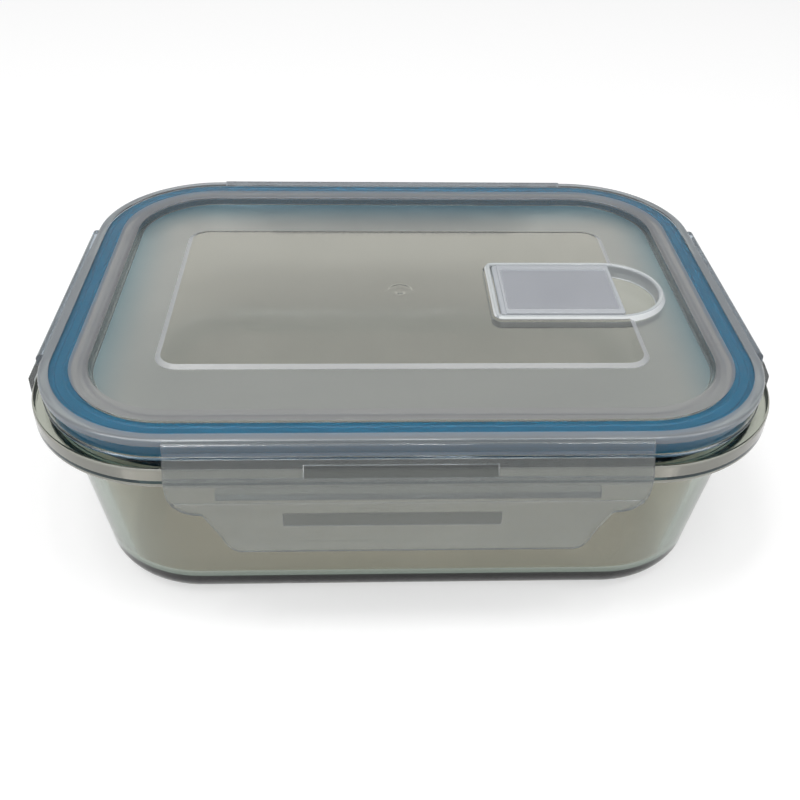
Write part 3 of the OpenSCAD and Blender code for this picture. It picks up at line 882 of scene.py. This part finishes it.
def make_latches():
    """Long latches in front and behind, short ones at the sides, each with its catch."""
    for length, sides in ((LONG_LATCH, ("front", "rear")), (SIDE_LATCH, ("left", "right"))):
        latch = make_latch(sides[0] + "_latch_plate", length)
        catch = make_catch(sides[0] + "_catch_rib", length)
        plates = [latch, copy_piece(latch, sides[1] + "_latch_plate")]
        ribs = [catch, copy_piece(catch, sides[1] + "_catch_rib")]
        for side, plate, rib in zip(sides, plates, ribs):
            place_on_side(plate, side)
            place_on_side(rib, side)
            finish_piece(plate, side + "_latch", side + "_latch",
                         [LATCH_FACE, LATCH_POCKET_SHADE], 40)
            finish_piece(rib, side + "_latch", side + "_catch", [LATCH_FACE])


def make_flap():
    """Frosted flap with a polished border, narrow at its free end."""
    middle = (FLAP_LEFT + FLAP_RIGHT) / 2
    half = (FLAP_RIGHT - FLAP_LEFT) / 2
    flap = sweep_round("vent_flap_leaf", fillet([
        (FLAP_IN, FLAP_UNDER), (FLAP_CORNER, FLAP_UNDER, 0.3), (FLAP_CORNER, FLAP_TOP, 0.35),
        (FLAP_IN, FLAP_TOP),
    ]), (half - FLAP_CORNER, FLAP_HALF - FLAP_CORNER))
    pocket_half = half - (FLAP_BORDER + FLAP_LIP) / 2
    pocket_top = FLAP_TOP + 0.3
    pocket = sweep_round("pocket", fillet([
        (FLAP_IN, FLAP_FACE), (0.6, FLAP_FACE, 0.2), (0.9, FLAP_TOP, 0.2), (1.6, pocket_top),
        (FLAP_IN, pocket_top),
    ]), (pocket_half - FLAP_CORNER, FLAP_HALF - FLAP_BORDER - FLAP_CORNER))
    shift(pocket, (FLAP_BORDER - FLAP_LIP) / 2)
    combine(flap, pocket, "DIFFERENCE")
    shift(flap, middle)
    border_start = FLAP_LEFT + 2 * HINGE_R
    combine(flap, outside_hinge(border_start), "DIFFERENCE")
    finish_piece(flap, "vent_flap", "vent_flap", [FLAP_FROSTED, FLAP_POLISHED])
    paint(flap, FLAP_POLISHED, lambda at, normal: at.z > FLAP_FACE + 0.01 or at.x < border_start)


def outside_hinge(border_start):
    """What is cut off the flap's hinge end: it is left round, and clears the ridge as it swings."""
    left, start = FLAP_LEFT + 0.02, FLAP_LEFT - BEYOND
    below, above = FLAP_UNDER - 0.02, FLAP_TOP + BEYOND
    rounding = HINGE_R - 0.02
    outside = trace("hinge_end", [(x, -FLAP_HALF - BEYOND, z) for x, z in fillet([
        (start, above), (border_start, above), (border_start, FLAP_FACE, 0.1),
        (left, FLAP_FACE, rounding), (left, below, rounding), (border_start, below),
        (border_start, below - BEYOND), (start, below - BEYOND),
    ])], True)
    bpy.ops.mesh.edge_face_add()
    slide(y=2 * (FLAP_HALF + BEYOND))
    merge_all()
    bpy.ops.object.mode_set(mode="OBJECT")
    return outside


def make_plug():
    """Turned silicone plug: a disc under the flap, and a nose that closes the steam hole."""
    top, disc_foot, nose_foot = FLAP_UNDER - 0.02, WELL_FLOOR + 0.2, WELL_FLOOR - 0.5
    plug = turn("steam_plug", fillet([
        (0, nose_foot), (PLUG_NOSE_R, nose_foot, 0.3), (PLUG_NOSE_R, disc_foot, 0.15),
        (PLUG_R, disc_foot, 0.3), (PLUG_R, top, 0.3), (0, top),
    ]), STEAM_HOLE_X)
    finish_piece(plug, "vent_flap", "vent_plug", [MILKY_SILICONE])


# ---------------------------------------------------------------- floor, light and camera

FLOOR_SIDE = 8.0
FLOOR_DROP = 0.1
FLOOR_GREY = 0.50
FLOOR_GLOW = 0.58
SKY_SEEN = 0.22
SKY = 0.28

# name, place, width and height in metres, and watts
LAMPS = (
    ("key", (-0.5, -0.4, 1.3), (1.2, 1.2), 11),
    ("fill", (0.8, -0.3, 0.8), (0.8, 0.8), 2.5),
    ("glint_left", (-0.235, -0.3, 1.1), (0.08, 0.3), 1.8),
    ("glint_middle", (0.082, -0.3, 1.1), (0.04, 0.3), 0.8),
    ("glint_right", (0.35, -0.3, 1.1), (0.06, 0.3), 1.3),
)
LAMP_AIM = (0, 0, 0.03)

# in metres and radians
CAMERA_PLACE = (-0.0121886, -0.2670494, 0.2209980)
CAMERA_DOWN = 0.63853
CAMERA_YAW = -0.0486045
CAMERA_ROLL = -0.0248333


def add_seen_share(nodes, links, share, rest):
    """A strength of rest, and more by a share where the camera looks, also by mirror or glass."""
    rays = nodes.new("ShaderNodeLightPath")
    seen = rays.outputs["Is Camera Ray"]
    for kind in ("Is Glossy Ray", "Is Transmission Ray"):
        either = nodes.new("ShaderNodeMath")
        either.operation = "MAXIMUM"
        links.new(seen, either.inputs[0])
        links.new(rays.outputs[kind], either.inputs[1])
        seen = either.outputs["Value"]
    total = nodes.new("ShaderNodeMath")
    total.operation = "MULTIPLY_ADD"
    total.inputs[1].default_value = share
    total.inputs[2].default_value = rest
    links.new(seen, total.inputs[0])
    return total.outputs["Value"]


def make_stage():
    """A pale floor that looks white where it is lit, and an even pale sky."""
    bpy.ops.object.select_all(action="DESELECT")
    bpy.ops.mesh.primitive_plane_add(size=FLOOR_SIDE, location=(0, 0, -FLOOR_DROP * MM))
    floor = bpy.context.object
    floor.name = "floor"
    material, nodes, links, shader = new_material("pale_floor")
    shader.inputs["Roughness"].default_value = 0.9
    shader.inputs["Specular IOR Level"].default_value = 0.1
    shader.inputs["Base Color"].default_value = (FLOOR_GREY, FLOOR_GREY, FLOOR_GREY, 1)
    shader.inputs["Emission Color"].default_value = (1, 1, 1, 1)
    links.new(add_seen_share(nodes, links, FLOOR_GLOW, 0), shader.inputs["Emission Strength"])
    floor.data.materials.append(material)
    world = bpy.data.worlds.new("studio")
    bpy.context.scene.world = world
    world.use_nodes = True
    sky = world.node_tree.nodes["Background"]
    sky.inputs["Color"].default_value = (1, 1, 1, 1)
    nodes, links = world.node_tree.nodes, world.node_tree.links
    links.new(add_seen_share(nodes, links, SKY_SEEN, SKY), sky.inputs["Strength"])


def add_lamp(name, place, size, power):
    """A soft box at a place, turned to the object."""
    light = bpy.data.lights.new(name, "AREA")
    light.shape = "RECTANGLE"
    light.size, light.size_y = size
    light.energy = power
    lamp = bpy.data.objects.new(name, light)
    lamp.location = place
    lamp.rotation_euler = (Vector(LAMP_AIM) - Vector(place)).to_track_quat("-Z", "Y").to_euler()
    bpy.context.collection.objects.link(lamp)


def make_camera():
    """Camera above the front, 36.6 degrees down, on a 45 mm lens for a square 800 pixel frame."""
    place = Vector(CAMERA_PLACE)
    down, yaw, roll = CAMERA_DOWN, CAMERA_YAW, CAMERA_ROLL
    ahead = Vector((-sin(yaw) * cos(down), cos(yaw) * cos(down), -sin(down)))
    level = Vector((cos(yaw), sin(yaw), 0))
    up = level.cross(ahead)
    right = level * cos(roll) - up * sin(roll)
    up = level * sin(roll) + up * cos(roll)
    camera = bpy.data.objects.new("camera", bpy.data.cameras.new("camera"))
    camera.data.lens = 45
    camera.data.sensor_width = 36
    camera.data.clip_start = 0.01
    turned = Matrix((right, up, -ahead)).transposed().to_4x4()
    camera.matrix_world = Matrix.Translation(place) @ turned
    bpy.context.collection.objects.link(camera)
    bpy.context.scene.camera = camera


make_tub()
make_lid()
make_gasket()
make_latches()
make_flap()
make_plug()
make_stage()
for lamp in LAMPS:
    add_lamp(*lamp)
make_camera()
bpy.context.scene.view_settings.view_transform = "Standard"
